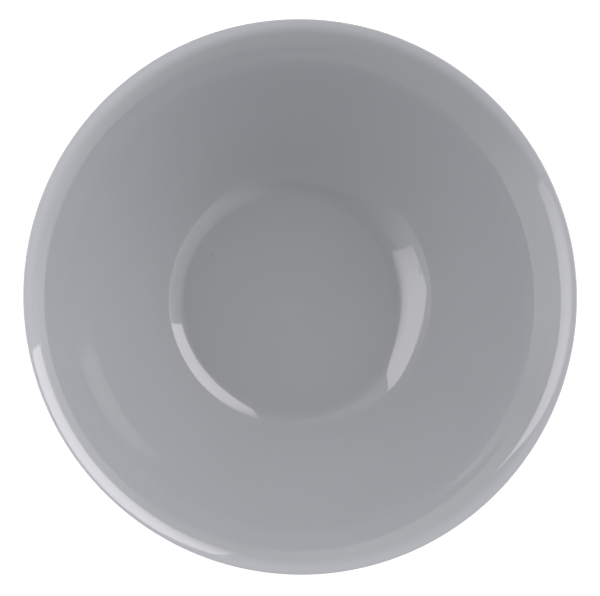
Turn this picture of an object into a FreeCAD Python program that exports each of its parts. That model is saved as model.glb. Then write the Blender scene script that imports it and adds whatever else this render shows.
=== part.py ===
import FreeCAD, Part
import math
import os
from types import SimpleNamespace

import Sketcher

# A deep round serving bowl, moulded in one piece. Millimetres, +Z up.
# The origin is on the axis, at the level of the surface that the foot rests on.
#
# The bowl is one revolved section. Its inside face leaves the floor at a crisp
# crease and reaches the lip through tangent arcs. The cove turns the face up, the
# flank, the breast and the rise steepen it as far as the brow, the shoulder leans
# outward, the throat stands up a little again, and the collar opens out into the
# lip. The outside face follows the same arcs at the wall's thickness, down to a
# foot ring that is hollow underneath.
#
# Each arc ends at a station on the inside face. A station has a reach, its
# distance from the axis, and a slope, the angle in degrees between the face and
# the horizontal there.

SIZES = {
    "rim_radius": 140.0,
    "wall_thickness": 3.2,
    "floor_thickness": 4.0,
    "floor_reach": 56.5,
    "floor_slope": 2.4,
    "cove_reach": 65.0,
    "cove_slope": 35.3,
    "flank_reach": 81.2,
    "flank_slope": 44.4,
    "breast_reach": 100.5,
    "breast_slope": 49.3,
    "rise_reach": 109.0,
    "rise_slope": 52.6,
    "brow_reach": 116.6,
    "brow_slope": 53.7,
    "shoulder_reach": 122.7,
    "shoulder_slope": 47.1,
    "throat_reach": 126.7,
    "throat_slope": 49.1,
    "collar_reach": 132.8,
    "collar_slope": 41.0,
    "crest_slope": 10.4,
    "foot_radius": 57.0,
    "foot_width": 4.5,
    "foot_height": 4.0,
    "foot_draft": 1.0,
    "sole_round": 1.0,
    "root_round": 2.5,
}

STATIONS = [
    "floor",
    "cove",
    "flank",
    "breast",
    "rise",
    "brow",
    "shoulder",
    "throat",
    "collar",
    "crest",
]

# Sketcher's own numbers for a sketch's axes and for the points of its geometry.
LEVEL_AXIS = -1
UPRIGHT_AXIS = -2
START = 1
END = 2
CENTRE = 3

# How close two numbers must be to count as equal: radians, millimetres, and the
# upright share of a round edge's axis.
SAME_ANGLE = 1e-6
SAME_RADIUS = 0.01
LEVEL_AXIS_SHARE = 0.999


def make_sheet(doc):
    """Put the driving dimensions in a spreadsheet, one alias for each."""
    sheet = doc.addObject("Spreadsheet::Sheet", "Sizes")
    for row, (alias, value) in enumerate(SIZES.items(), start=1):
        sheet.set("A%d" % row, alias)
        sheet.set("B%d" % row, str(value))
        sheet.setAlias("B%d" % row, alias)
    doc.recompute()


def face_normal(slope):
    """The inside face's unit normal in the section, for a slope in radians."""
    return FreeCAD.Vector(-math.sin(slope), math.cos(slope), 0)


def inside_points(size):
    """Where each station lies in the section, worked out arc by arc."""
    edge = size.wall_thickness / 2
    slope = math.radians(size.floor_slope)
    here = FreeCAD.Vector(size.floor_reach, size.foot_height + size.floor_thickness, 0)
    points = {"floor": here}
    for name in STATIONS[1:]:
        next_slope = math.radians(getattr(size, name + "_slope"))
        if name == "crest":
            reach = size.rim_radius - edge - edge * math.sin(next_slope)
        else:
            reach = getattr(size, name + "_reach")
        radius = (reach - here.x) / (math.sin(next_slope) - math.sin(slope))
        rise = radius * (math.cos(slope) - math.cos(next_slope))
        here = FreeCAD.Vector(reach, here.y + rise, 0)
        slope = next_slope
        points[name] = here
    return points


def crossing(one, one_way, other, other_way):
    """Where two lines cross, each given by a point and a direction."""
    gap = other - one
    across = one_way.x * other_way.y - one_way.y * other_way.x
    return one + one_way * ((gap.x * other_way.y - gap.y * other_way.x) / across)


class Section:
    """The bowl's section: geometry drawn where it belongs, then constrained."""

    def __init__(self, sketch, size):
        self.sketch = sketch
        self.size = size
        self.guides = {}
        self.draw_guides()
        self.draw_faces()
        self.draw_edge()
        self.draw_foot()

    def line(self, start, end, guide=False):
        return self.sketch.addGeometry(Part.LineSegment(start, end), guide)

    def arc(self, centre, one, other):
        """The shorter arc from one point to the other, and which end is at each."""
        first = math.atan2(one.y - centre.y, one.x - centre.x)
        last = math.atan2(other.y - centre.y, other.x - centre.x)
        ends = (START, END)
        if (last - first) % (2 * math.pi) > math.pi + SAME_ANGLE:
            first, last = last, first
            ends = (END, START)
        upward = FreeCAD.Vector(0, 0, 1)
        circle = Part.Circle(centre, upward, one.distanceToPoint(centre))
        arc = Part.ArcOfCircle(circle, first, last)
        return self.sketch.addGeometry(arc, False), ends

    def fix(self, *constraint):
        return self.sketch.addConstraint(Sketcher.Constraint(*constraint))

    def drive(self, formula, *constraint):
        """A constraint whose value follows the sheet."""
        number = self.fix(*constraint)
        self.sketch.setExpression("Constraints[%d]" % number, formula)

    def drive_reach(self, formula, geometry, end, value):
        """Hold a point at a distance from the bowl's axis."""
        self.drive(formula, "DistanceX", LEVEL_AXIS, START, geometry, end, value)

    def draw_guides(self):
        """One guide through the wall at each station, square to the inside face."""
        points = inside_points(self.size)
        thickness = self.size.wall_thickness
        for name in STATIONS:
            slope = math.radians(getattr(self.size, name + "_slope"))
            inner = points[name]
            normal = face_normal(slope)
            outer = inner - normal * thickness
            guide = self.line(outer, inner, guide=True)
            self.drive("Sizes.wall_thickness", "Distance", guide, thickness)
            tilt = "(90 + Sizes.%s_slope) * 1 deg" % name
            self.drive(tilt, "Angle", guide, slope + math.pi / 2)
            if name != "crest":
                self.drive_reach("Sizes.%s_reach" % name, guide, END, inner.x)
            self.guides[name] = SimpleNamespace(
                number=guide, inner=inner, outer=outer, normal=normal
            )

    def draw_faces(self):
        """The arcs of both faces from station to station, on shared centres."""
        for last_name, name in zip(STATIONS, STATIONS[1:]):
            last = self.guides[last_name]
            here = self.guides[name]
            centre = crossing(last.inner, last.normal, here.inner, here.normal)
            face, (near, far) = self.arc(centre, last.inner, here.inner)
            self.fix("Coincident", face, near, last.number, END)
            self.fix("Coincident", face, far, here.number, END)
            self.fix("PointOnObject", face, CENTRE, last.number)
            self.fix("PointOnObject", face, CENTRE, here.number)
            if last_name == "floor":
                self.cove = face
                self.cove_centre = centre
                continue
            face, (near, far) = self.arc(centre, last.outer, here.outer)
            self.fix("Coincident", face, near, last.number, START)
            self.fix("Coincident", face, far, here.number, START)
            self.fix("PointOnObject", face, CENTRE, here.number)

    def draw_edge(self):
        """The half-round edge that joins the two faces at the crest."""
        crest = self.guides["crest"]
        centre = (crest.inner + crest.outer) * 0.5
        edge, (near, far) = self.arc(centre, crest.outer, crest.inner)
        self.fix("Coincident", edge, near, crest.number, START)
        self.fix("Coincident", edge, far, crest.number, END)
        self.fix("PointOnObject", edge, CENTRE, crest.number)
        formula = "Sizes.rim_radius - Sizes.wall_thickness / 2"
        self.drive_reach(formula, edge, CENTRE, centre.x)

    def draw_foot(self):
        """The outer cove, the foot ring, the hollow under it and the floor."""
        size = self.size
        outer_root, inner_sole, inner_root = foot_reaches(size)
        cove = self.guides["cove"]
        centre = self.cove_centre
        radius = cove.outer.distanceToPoint(centre)
        root_drop = math.sqrt(radius**2 - (outer_root - centre.x)**2)
        root = FreeCAD.Vector(outer_root, centre.y - root_drop, 0)
        skin, (near, far) = self.arc(centre, cove.outer, root)
        self.fix("Coincident", skin, near, cove.number, START)
        self.fix("Coincident", skin, CENTRE, self.cove, CENTRE)
        floor_level = size.foot_height + size.floor_thickness
        corners = [
            root,
            FreeCAD.Vector(size.foot_radius, 0, 0),
            FreeCAD.Vector(inner_sole, 0, 0),
            FreeCAD.Vector(inner_root, size.foot_height, 0),
            FreeCAD.Vector(0, size.foot_height, 0),
            FreeCAD.Vector(0, floor_level, 0),
            self.guides["floor"].inner,
        ]
        sides = [self.line(one, other) for one, other in zip(corners, corners[1:])]
        flare, sole, hollow, ceiling, core, floor = sides
        self.fix("Coincident", skin, far, flare, START)
        for side, following in zip(sides, sides[1:]):
            self.fix("Coincident", side, END, following, START)
        self.fix("Coincident", floor, END, self.guides["floor"].number, END)
        self.fix("PointOnObject", sole, START, LEVEL_AXIS)
        self.fix("PointOnObject", sole, END, LEVEL_AXIS)
        self.fix("Horizontal", ceiling)
        self.fix("PointOnObject", core, START, UPRIGHT_AXIS)
        self.fix("PointOnObject", core, END, UPRIGHT_AXIS)
        self.fix("Horizontal", floor)
        self.drive_reach("Sizes.foot_radius + Sizes.foot_draft", flare, START, outer_root)
        self.drive_reach("Sizes.foot_radius", sole, START, size.foot_radius)
        sole_inside = "Sizes.foot_radius - Sizes.foot_width"
        self.drive_reach(sole_inside, sole, END, inner_sole)
        self.drive_reach(sole_inside + " - Sizes.foot_draft", hollow, END, inner_root)
        self.drive("Sizes.foot_height", "DistanceY", LEVEL_AXIS, START,
                   core, START, size.foot_height)
        self.drive("Sizes.floor_thickness", "DistanceY", core, START,
                   core, END, size.floor_thickness)


def foot_reaches(size):
    """The foot ring's outer root, inner sole and inner root, from the axis."""
    inner_sole = size.foot_radius - size.foot_width
    return size.foot_radius + size.foot_draft, inner_sole, inner_sole - size.foot_draft


def ring_edges(shape, radii):
    """The names of the shape's level round edges that have one of the radii."""
    names = []
    for number, edge in enumerate(shape.Edges, start=1):
        ring = isinstance(edge.Curve, Part.Circle) and abs(edge.Curve.Axis.z) > LEVEL_AXIS_SHARE
        if ring and any(abs(edge.Curve.Radius - radius) < SAME_RADIUS for radius in radii):
            names.append("Edge%d" % number)
    return names


def add_fillet(body, base, name, alias, radii):
    """Round the level edges of those radii by the size under an alias."""
    edges = ring_edges(base.Shape, radii)
    if len(edges) != len(radii):
        raise RuntimeError("%s: found %d edges of %d" % (name, len(edges), len(radii)))
    fillet = body.newObject("PartDesign::Fillet", name)
    fillet.Base = (base, edges)
    fillet.setExpression("Radius", "Sizes." + alias)
    return fillet


def make_bowl(doc, size):
    body = doc.addObject("PartDesign::Body", "bowl")
    body.Label = "bowl"
    sketch = body.newObject("Sketcher::SketchObject", "bowl_section")
    planes = body.Origin.OriginFeatures
    upright = next(feature for feature in planes if feature.Role == "XZ_Plane")
    sketch.AttachmentSupport = [(upright, "")]
    sketch.MapMode = "FlatFace"
    Section(sketch, size)
    shell = body.newObject("PartDesign::Revolution", "bowl_shell")
    shell.Profile = sketch
    shell.ReferenceAxis = (sketch, ["V_Axis"])
    shell.Angle = 360
    doc.recompute()
    outer_root, inner_sole, inner_root = foot_reaches(size)
    roots = add_fillet(body, shell, "root_rounding", "root_round", [outer_root, inner_root])
    doc.recompute()
    add_fillet(body, roots, "sole_rounding", "sole_round", [size.foot_radius, inner_sole])
    doc.recompute()
    body.Placement = FreeCAD.Placement()
    return body


def check(doc, pieces):
    """Stop if any object failed or a piece has no sound shape."""
    for thing in doc.Objects:
        if "Invalid" in thing.State or "Error" in thing.State:
            raise RuntimeError("%s is %s" % (thing.Name, thing.State))
    for piece in pieces:
        if piece.Shape.isNull() or not piece.Shape.isValid():
            raise RuntimeError("%s has no valid shape" % piece.Label)
        if len(piece.Shape.Solids) != 1:
            raise RuntimeError("%s is not one solid" % piece.Label)


def main():
    doc = FreeCAD.newDocument("serving_bowl")
    make_sheet(doc)
    bowl = make_bowl(doc, SimpleNamespace(**SIZES))
    doc.recompute()
    check(doc, [bowl])
    os.makedirs("parts", exist_ok=True)
    bowl.Shape.exportStep("parts/%s.step" % bowl.Label)
    box = bowl.Shape.optimalBoundingBox(True, False)
    print("bowl volume %.0f mm3, height %.2f mm" % (bowl.Shape.Volume, box.ZMax - box.ZMin))


main()
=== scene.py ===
"""A deep, round, one-piece serving bowl on a plain pale table, seen from nearly straight above."""

import math

import bpy
from mathutils import Matrix, Vector


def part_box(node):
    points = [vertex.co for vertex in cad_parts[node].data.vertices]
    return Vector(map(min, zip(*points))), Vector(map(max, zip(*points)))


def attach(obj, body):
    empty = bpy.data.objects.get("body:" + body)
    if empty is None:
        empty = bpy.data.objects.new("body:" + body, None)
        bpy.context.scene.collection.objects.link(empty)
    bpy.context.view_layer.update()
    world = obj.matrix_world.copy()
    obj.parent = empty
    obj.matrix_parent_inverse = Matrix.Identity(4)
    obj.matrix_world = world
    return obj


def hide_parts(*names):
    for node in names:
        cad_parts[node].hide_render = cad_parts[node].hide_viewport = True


# The camera looks down at the rim's middle from this height above it, a little off the
# bowl's axis. Metres, degrees, and millimetres for the lens.
CAMERA_HEIGHT = 1.20
CAMERA_LEAN = 5.9
CAMERA_AZIMUTH = 203.5
CAMERA_AIM = (-0.0015, -0.0012)
CAMERA_LENS = 143.7
CAMERA_SENSOR = 36

# The bowl's inside face: where each arc ends, as reach in mm and slope in degrees. The
# CAD part has the same stations, apart from the reach of the crest.
ARCS = (
    (56.5, 2.4), (65.0, 35.3), (81.2, 44.4), (100.5, 49.3), (109.0, 52.6), (116.6, 53.7),
    (122.7, 47.1), (126.7, 49.1), (132.8, 41.0), (139.33, 10.4),
)
FLOOR_RINGS = (0, 0.02, 0.1, 0.25, 0.5, 0.75, 0.95, 0.998)

# The rest of the section, in mm.
WALL = 3.2
FLOOR_TOP = 8.0
LIP_ROUND = 0.6
LIP_CLEARANCE = 0.3
ROOT = (58.0, 4.91)
SOLE_OUTSIDE = 57.0
SOLE_INSIDE = 52.5
HOLLOW = (51.5, 4.0)
HOLLOW_RING = 30
ROOT_ROUND = 1.8
SOLE_ROUND = 0.9

# How finely the lathe is cut.
AROUND = 480
ARC_STEP = 0.6
ARC_PIECES_AT_LEAST = 4
LIP_PIECES = 24
BEND_PIECES = 6

BOWL_COLOUR = (0.460, 0.470, 0.491)
BOWL_INDEX = 1.8
BOWL_ROUGHNESS = 0.03
DARK_SPECK = (0.16, 0.16, 0.165)
WORN_SOLE = (0.52, 0.525, 0.53)

# Small marks on the bowl, and where the painted light that makes the lip paler begins and ends, in
# metres.
GATE_MARK = (0.0, -0.003, 0.008)
SPECKS = ((-0.0415, 0.0248, 0.008), (0.0676, 0.1096, 0.0799))
SMUDGE = (0.0646, -0.0162, 0.0121)
RUBBED_SPOT = (0.0693, 0.0165, 0.0155)
PAINTED_LIP_LIGHT_FROM, PAINTED_LIP_LIGHT_TO = 0.1320, 0.1376
SOLE_WEAR = (0.0002, 0.0009)

# Two soft screens. Each outline corner is an azimuth and an elevation in whole degrees,
# as the bowl sees it. The glow is brightest towards the hot spot and fades away from it.
SCREEN_DISTANCE = 4.0
KEY_SCREEN = {
    "name": "key_screen",
    "outline": ((12, 23), (15, 66), (38, 70), (64, 53), (71, 17), (50, 18), (30, 23)),
    "hot": (8, 36),
    "reach": (60, 20),
    "glow": (0.8, 3.1),
    "colour": (1.0, 0.985, 0.99),
}
SIDE_SCREEN = {
    "name": "side_screen",
    "outline": ((205, 22), (207, 51), (199, 69), (158, 65), (147, 55), (137, 25), (131, 18), (184, 20)),
    "hot": (164, 22),
    "reach": (56, 10),
    "glow": (0.4, 2.45),
    "colour": (1.0, 0.99, 1.0),
}

# The room beyond the screens is dim overhead and paler low down all round, with broad
# brighter patches: where the middle is, how far the patch and its core reach in degrees,
# and how bright it is.
ROOM_PATCHES = (
    ((356, 40), (50, 24), 0.31),
    ((340, 36), (50, 20), 0.36),
    ((20, 4), (34, 8), 0.42),
    ((188, 8), (40, 8), 0.46),
    ((196, 44), (40, 10), 0.12),
    ((116, 8), (38, 6), 0.16),
)
ROOM_TINT = (1.0, 1.0, 1.03)
ROOM_LOW, ROOM_OVERHEAD = 0.52, 0.03
OVERHEAD = (0, 90)
LOW_REACH = (84, 34)
BACKDROP = (0.93, 0.93, 0.935)

TABLE_SIZE = 12
TABLE_COLOURS = ((0.84, 0.84, 0.84), (0.86, 0.86, 0.86))
TABLE_ROUGHNESS = (0.66, 0.74)
TABLE_GLOW = 0.52

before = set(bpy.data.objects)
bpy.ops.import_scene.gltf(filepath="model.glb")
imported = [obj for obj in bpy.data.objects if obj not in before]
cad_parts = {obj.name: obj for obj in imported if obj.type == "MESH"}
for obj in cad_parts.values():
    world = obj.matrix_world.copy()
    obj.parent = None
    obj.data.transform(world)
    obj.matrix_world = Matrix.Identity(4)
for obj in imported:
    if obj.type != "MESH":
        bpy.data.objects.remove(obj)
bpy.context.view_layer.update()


def compass(azimuth, elevation=0.0):
    """The direction at an azimuth from +X and an elevation, both in degrees."""
    a, e = math.radians(azimuth), math.radians(elevation)
    return Vector((math.cos(a) * math.cos(e), math.sin(a) * math.cos(e), math.sin(e)))


def link(holder):
    bpy.context.scene.collection.objects.link(holder)
    return holder


def mesh_object(name, points, faces):
    mesh = bpy.data.meshes.new(name)
    mesh.from_pydata(points, [], faces)
    mesh.update()
    return link(bpy.data.objects.new(name, mesh))


# Shader helpers -------------------------------------------------------------------

def plug(tree, socket, value):
    """Link a socket to another one, or give it a plain value."""
    if isinstance(value, bpy.types.NodeSocket):
        tree.links.new(value, socket)
    elif isinstance(value, tuple) and len(socket.default_value) == 4:
        socket.default_value = (*value, 1)
    else:
        socket.default_value = value


def math_node(tree, operation, *values):
    node = tree.nodes.new("ShaderNodeMath")
    node.operation = operation
    for socket, value in zip(node.inputs, values):
        plug(tree, socket, value)
    return node.outputs[0]


def vector_node(tree, operation, *values):
    node = tree.nodes.new("ShaderNodeVectorMath")
    node.operation = operation
    for socket, value in zip(node.inputs, values):
        plug(tree, socket, value)
    return next(socket for socket in node.outputs if socket.enabled)


def ease(tree, value, start, end, low=0.0, high=1.0):
    """A smooth step from low to high as the value goes from start to end."""
    step = tree.nodes.new("ShaderNodeMapRange")
    step.interpolation_type = "SMOOTHSTEP"
    for name, number in (("From Min", start), ("From Max", end), ("To Min", low), ("To Max", high)):
        step.inputs[name].default_value = number
    plug(tree, step.inputs["Value"], value)
    return step.outputs["Result"]


def facing(tree, where, spot, edge, core, low=0.0, high=1.0):
    """Low further than edge degrees from a direction, high within core degrees of it."""
    closeness = vector_node(tree, "DOT_PRODUCT", where, compass(*spot))
    rims = (math.cos(math.radians(angle)) for angle in (edge, core))
    return ease(tree, closeness, *rims, low, high)


def tint(tree, colour, factor, other):
    """Mix a colour towards another one by a factor."""
    node = tree.nodes.new("ShaderNodeMix")
    node.data_type = "RGBA"
    inputs = [socket for socket in node.inputs if socket.enabled]
    for socket, value in zip(inputs, (factor, colour, other)):
        plug(tree, socket, value)
    return next(socket for socket in node.outputs if socket.enabled)


def noise(tree, where, scale, detail=2.0):
    node = tree.nodes.new("ShaderNodeTexNoise")
    plug(tree, node.inputs["Vector"], where)
    plug(tree, node.inputs["Scale"], scale)
    plug(tree, node.inputs["Detail"], detail)
    return node.outputs["Fac"]


def near(tree, where, spot, core, edge, ragged=0.0):
    """1 within core metres of a spot and 0 beyond edge metres, with an uneven outline."""
    gap = vector_node(tree, "DISTANCE", where, spot)
    reach = math_node(tree, "MULTIPLY_ADD", noise(tree, where, 260), ragged, gap)
    return ease(tree, math_node(tree, "SUBTRACT", reach, ragged / 2), core, edge, 1.0, 0.0)


def dust(tree, where, spacing, share, size):
    """Tiny scattered specks: the chosen share of random points, each about one size wide."""
    cells = tree.nodes.new("ShaderNodeTexVoronoi")
    plug(tree, cells.inputs["Vector"], where)
    plug(tree, cells.inputs["Scale"], 1 / spacing)
    lottery = tree.nodes.new("ShaderNodeSeparateColor")
    plug(tree, lottery.inputs["Color"], cells.outputs["Color"])
    chosen = math_node(tree, "LESS_THAN", lottery.outputs["Red"], share)
    width = size / spacing
    speck = ease(tree, cells.outputs["Distance"], width * 0.3, width * 0.5, 1.0, 0.0)
    return math_node(tree, "MULTIPLY", speck, chosen)


def object_place(tree):
    return tree.nodes.new("ShaderNodeTexCoord").outputs["Object"]


def plain_gloss(name, colour, roughness, index=1.5):
    """A new material with a Principled shader: the material, its tree and the shader."""
    material = bpy.data.materials.new(name)
    material.use_nodes = True
    tree = material.node_tree
    shader = tree.nodes["Principled BSDF"]
    plug(tree, shader.inputs["Base Color"], colour)
    plug(tree, shader.inputs["Roughness"], roughness)
    plug(tree, shader.inputs["IOR"], index)
    return material, tree, shader


# Light, table and camera ------------------------------------------------------------

def screen_material(row):
    material = bpy.data.materials.new(row["name"] + "_cloth")
    material.use_nodes = True
    tree = material.node_tree
    tree.nodes.clear()
    where = vector_node(tree, "NORMALIZE", object_place(tree))
    glow = tree.nodes.new("ShaderNodeEmission")
    plug(tree, glow.inputs["Color"], row["colour"])
    plug(tree, glow.inputs["Strength"], facing(tree, where, row["hot"], *row["reach"], *row["glow"]))
    out = tree.nodes.new("ShaderNodeOutputMaterial")
    tree.links.new(glow.outputs[0], out.inputs["Surface"])
    return material


def add_screen(row):
    """A soft light: a fan of triangles that fills its outline as the bowl sees it."""
    rim = [compass(*corner) for corner in row["outline"]]
    middle = sum(rim, Vector()).normalized()
    points = [direction * SCREEN_DISTANCE for direction in (middle, *rim)]
    count = len(rim)
    faces = [(0, i + 1, (i + 1) % count + 1) for i in range(count)]
    screen = mesh_object(row["name"], points, faces)
    screen.data.materials.append(screen_material(row))
    screen.visible_camera = False


def background(tree, colour, strength):
    node = tree.nodes.new("ShaderNodeBackground")
    plug(tree, node.inputs["Color"], colour)
    plug(tree, node.inputs["Strength"], strength)
    return node.outputs[0]


def add_room():
    """Soft light from the room, which the camera itself sees as one plain pale backdrop."""
    world = bpy.data.worlds.new("room")
    bpy.context.scene.world = world
    world.use_nodes = True
    tree = world.node_tree
    tree.nodes.clear()
    where = tree.nodes.new("ShaderNodeTexCoord").outputs["Generated"]
    strength = facing(tree, where, OVERHEAD, *LOW_REACH, ROOM_LOW, ROOM_OVERHEAD)
    for spot, widths, gain in ROOM_PATCHES:
        strength = math_node(tree, "ADD", strength, facing(tree, where, spot, *widths, 0.0, gain))
    mix = tree.nodes.new("ShaderNodeMixShader")
    plug(tree, mix.inputs[0], tree.nodes.new("ShaderNodeLightPath").outputs["Is Camera Ray"])
    plug(tree, mix.inputs[1], background(tree, ROOM_TINT, strength))
    plug(tree, mix.inputs[2], background(tree, BACKDROP, 1.0))
    out = tree.nodes.new("ShaderNodeOutputWorld")
    tree.links.new(mix.outputs[0], out.inputs["Surface"])


def table_material():
    """Matt white paint, faintly mottled, with a glow that keeps the background white."""
    paint, tree, shader = plain_gloss("table_paint", TABLE_COLOURS[0], TABLE_ROUGHNESS[0])
    mottle = noise(tree, object_place(tree), 9, 4.0)
    plug(tree, shader.inputs["Base Color"], tint(tree, TABLE_COLOURS[0], mottle, TABLE_COLOURS[1]))
    plug(tree, shader.inputs["Roughness"], ease(tree, mottle, 0.3, 0.7, *TABLE_ROUGHNESS))
    plug(tree, shader.inputs["Emission Color"], (1.0, 1.0, 1.0))
    plug(tree, shader.inputs["Emission Strength"], TABLE_GLOW)
    return paint


def add_table():
    bpy.ops.mesh.primitive_plane_add(size=TABLE_SIZE, location=(0, 0, 0))
    table = bpy.context.object
    table.name = "table_top"
    table.data.materials.append(table_material())


def add_camera(rim_height):
    body = bpy.data.cameras.new("photo_camera")
    camera = link(bpy.data.objects.new("photo_camera", body))
    side = CAMERA_HEIGHT * math.tan(math.radians(CAMERA_LEAN))
    stand = Vector((0, 0, rim_height))
    camera.location = stand + compass(CAMERA_AZIMUTH) * side + Vector((0, 0, CAMERA_HEIGHT))
    back = (camera.location - stand - Vector((*CAMERA_AIM, 0))).normalized()
    right = Vector((0, 1, 0)).cross(back).normalized()
    turn = Matrix((right, back.cross(right), back)).transposed()
    camera.rotation_euler = turn.to_euler()
    body.lens = CAMERA_LENS
    body.sensor_width = CAMERA_SENSOR
    bpy.context.scene.camera = camera


# The bowl's shape -----------------------------------------------------------------

def inside_face():
    """The inside face from the axis to the crest: reach, height and slope in mm and radians."""
    reach, slope = ARCS[0][0], math.radians(ARCS[0][1])
    height = FLOOR_TOP
    face = [(reach * share, height, 0.0) for share in FLOOR_RINGS]
    face.append((reach, height, slope))
    for end_reach, end_slope in ARCS[1:]:
        width = end_reach - reach
        sine = math.sin(slope)
        turn = math.sin(math.radians(end_slope)) - sine
        radius = width / turn
        pieces = max(ARC_PIECES_AT_LEAST, round(width / ARC_STEP))
        for number in range(1, pieces + 1):
            share = number / pieces
            here = sine + turn * share
            rise = radius * (math.cos(slope) - math.sqrt(1 - here * here))
            face.append((reach + width * share, height + rise, math.asin(here)))
        reach, height, slope = face[-1]
    return face


def lip_round(reach, height, slope):
    """The lip's outer round, from the crest over to the outside."""
    middle = (reach + LIP_ROUND * math.sin(slope), height - LIP_ROUND * math.cos(slope))
    turns = [slope - math.pi * number / LIP_PIECES for number in range(1, LIP_PIECES)]
    return [(middle[0] - LIP_ROUND * math.sin(turn), middle[1] + LIP_ROUND * math.cos(turn))
            for turn in turns]


def bent(corner, before, after, setback):
    """A small round at a corner, from a setback before it to the same setback after it."""
    corner, before, after = (Vector(point) for point in (corner, before, after))
    first = corner + (before - corner).normalized() * setback
    last = corner + (after - corner).normalized() * setback
    shares = [number / BEND_PIECES for number in range(BEND_PIECES + 1)]
    return [tuple(first * (1 - s) ** 2 + corner * 2 * s * (1 - s) + last * s * s) for s in shares]


def bowl_outline():
    """The whole section: inside face, lip, outside face, foot ring and the hollow under it."""
    face = inside_face()
    lip = lip_round(*face[-1])
    outside = [(r + WALL * math.sin(s), z - WALL * math.cos(s)) for r, z, s in reversed(face)]
    outside = [p for p in outside if ROOT[0] + ROOT_ROUND < p[0] < lip[-1][0] - LIP_CLEARANCE]
    outline = [(r, z) for r, z, _ in face] + lip + outside
    under = (0, HOLLOW[1])
    corners = [outside[-1], ROOT, (SOLE_OUTSIDE, 0), (SOLE_INSIDE, 0), HOLLOW, under]
    rounds = (ROOT_ROUND, SOLE_ROUND, SOLE_ROUND, ROOT_ROUND)
    for before, corner, after, setback in zip(corners, corners[1:], corners[2:], rounds):
        outline += bent(corner, before, after, setback)
    return outline + [(HOLLOW_RING, HOLLOW[1]), under]


def make_bowl(low, high):
    """Turn the section round the axis, scaled to fill the CAD bowl's box."""
    outline = bowl_outline()
    scale = high.x / max(r for r, _ in outline)
    lift = (high.z - low.z) / max(z for _, z in outline)
    points = [(0, 0, outline[0][1] * lift), (0, 0, outline[-1][1] * lift)]
    rings = outline[1:-1]
    for r, z in rings:
        for number in range(AROUND):
            turn = math.tau * number / AROUND
            points.append((r * scale * math.cos(turn), r * scale * math.sin(turn), z * lift))
    faces = []
    last = 2 + (len(rings) - 1) * AROUND
    for number in range(AROUND):
        beside = (number + 1) % AROUND
        faces.append((0, 2 + number, 2 + beside))
        faces.append((1, last + beside, last + number))
        for ring in range(len(rings) - 1):
            row = 2 + ring * AROUND
            faces.append((row + number, row + AROUND + number, row + AROUND + beside, row + beside))
    bowl = mesh_object("bowl_visual", points, faces)
    bowl.data.shade_smooth()
    return bowl


# The bowl's plastic ---------------------------------------------------------------

def shade(gain):
    """The bowl's colour, lighter or darker by a gain."""
    return tuple(gain * part for part in BOWL_COLOUR)


def paint_marks_and_lip_light(tree, where, split, sole):
    """The colour: faint clouding and grain, painted light that makes the lip paler, a gate mark,
    specks, a worn sole.
    """
    cloud = ease(tree, noise(tree, where, 24, 3.0), 0.3, 0.7)
    colour = tint(tree, shade(0.985), cloud, BOWL_COLOUR)
    grain = ease(tree, noise(tree, where, 900), 0.5, 0.75, 0.0, 0.35)
    colour = tint(tree, colour, grain, shade(1.05))
    squares = (math_node(tree, "MULTIPLY", split.outputs[axis], split.outputs[axis]) for axis in "XY")
    radius = math_node(tree, "SQRT", math_node(tree, "ADD", *squares))
    # Painted light: the lip's colour is made paler towards its crest to stand in for the light it
    # catches.
    colour = tint(tree, colour, ease(tree, radius, PAINTED_LIP_LIGHT_FROM, PAINTED_LIP_LIGHT_TO), shade(1.27))
    gate = near(tree, where, GATE_MARK, 0.002, 0.011, 0.006)
    colour = tint(tree, colour, math_node(tree, "MULTIPLY", gate, 0.5), shade(1.05))
    specks = dust(tree, where, 0.021, 0.16, 0.0009)
    for spot in SPECKS:
        specks = math_node(tree, "MAXIMUM", specks, near(tree, where, spot, 0.0003, 0.0008))
    colour = tint(tree, colour, math_node(tree, "MULTIPLY", specks, 0.3), DARK_SPECK)
    return tint(tree, colour, math_node(tree, "MULTIPLY", sole, 0.6), WORN_SOLE)


def dull_marks(tree, where, sole):
    """The roughness: an uneven polish with a smudge, a rubbed spot, dust and a worn sole."""
    smudge = near(tree, where, SMUDGE, 0.002, 0.010, 0.008)
    spots = math_node(tree, "MULTIPLY", smudge, ease(tree, noise(tree, where, 1500), 0.52, 0.62))
    rub = near(tree, where, RUBBED_SPOT, 0.0006, 0.0022, 0.004)
    haze = math_node(tree, "MULTIPLY", spots, 0.10)
    for mark, dulling in ((rub, 0.3), (dust(tree, where, 0.004, 0.2, 0.0005), 0.2), (sole, 0.45)):
        haze = math_node(tree, "MAXIMUM", haze, math_node(tree, "MULTIPLY", mark, dulling))
    polish = ease(tree, noise(tree, where, 55, 4.0), 0.35, 0.7, 0.025, 0.045)
    return math_node(tree, "ADD", polish, haze)


def gloss_material():
    """Hard, bright, pale blue-grey plastic with the small marks of moulding and use, and painted light
    on the lip.
    """
    material, tree, shader = plain_gloss("bowl_gloss", BOWL_COLOUR, BOWL_ROUGHNESS, BOWL_INDEX)
    where = object_place(tree)
    split = tree.nodes.new("ShaderNodeSeparateXYZ")
    tree.links.new(where, split.inputs[0])
    sole = ease(tree, split.outputs["Z"], *SOLE_WEAR, 1.0, 0.0)
    plug(tree, shader.inputs["Base Color"], paint_marks_and_lip_light(tree, where, split, sole))
    plug(tree, shader.inputs["Roughness"], dull_marks(tree, where, sole))
    return material


low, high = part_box("bowl")
bowl = make_bowl(low, high)
bowl.data.materials.append(gloss_material())
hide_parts("bowl")
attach(bowl, "root")
add_screen(KEY_SCREEN)
add_screen(SIDE_SCREEN)
add_room()
add_table()
add_camera(high.z - WALL / 2000)
bpy.context.scene.view_settings.view_transform = "Standard"
